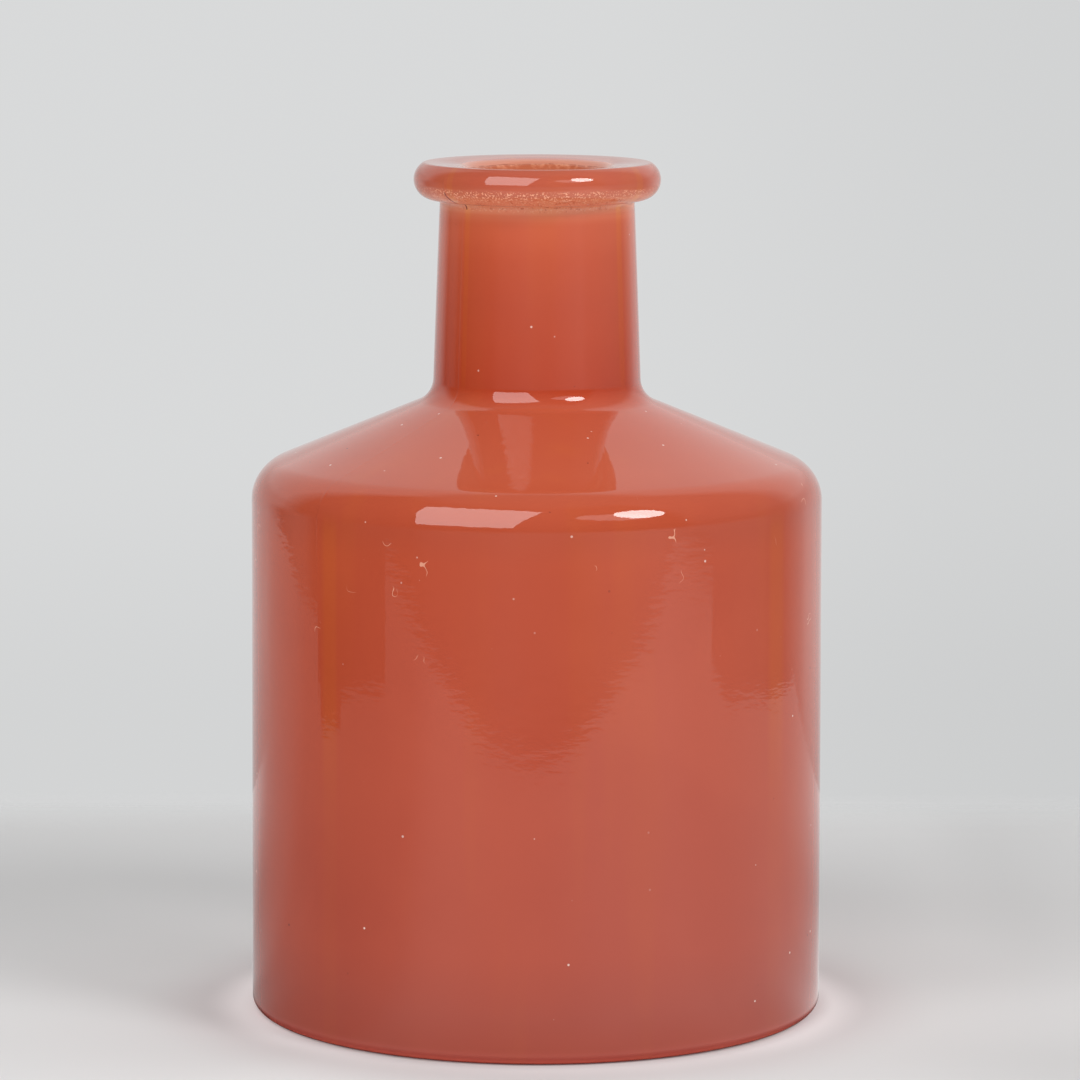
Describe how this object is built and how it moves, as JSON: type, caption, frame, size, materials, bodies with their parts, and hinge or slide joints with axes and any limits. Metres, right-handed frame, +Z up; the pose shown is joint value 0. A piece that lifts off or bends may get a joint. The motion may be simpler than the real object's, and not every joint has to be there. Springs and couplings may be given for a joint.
{
  "type": "bottle vase",
  "caption": "Round glass bottle vase with a straight body, sloping shoulder, short neck and thick rolled lip, open at the mouth for flower stems.",
  "frame": {"origin": "middle of the foot, on the surface the bottle stands on", "axes": "+Z up along the bottle's axis, +X to the right and -Y towards the viewer"},
  "size_m": [0.1206, 0.1206, 0.179],
  "materials": {
    "coral_glass": "glossy glass, made opaque coral by a colour coat sprayed on its inner face"
  },
  "bodies": {
    "root": {"glass_bottle": "coral_glass"}
  },
  "joints": []
}
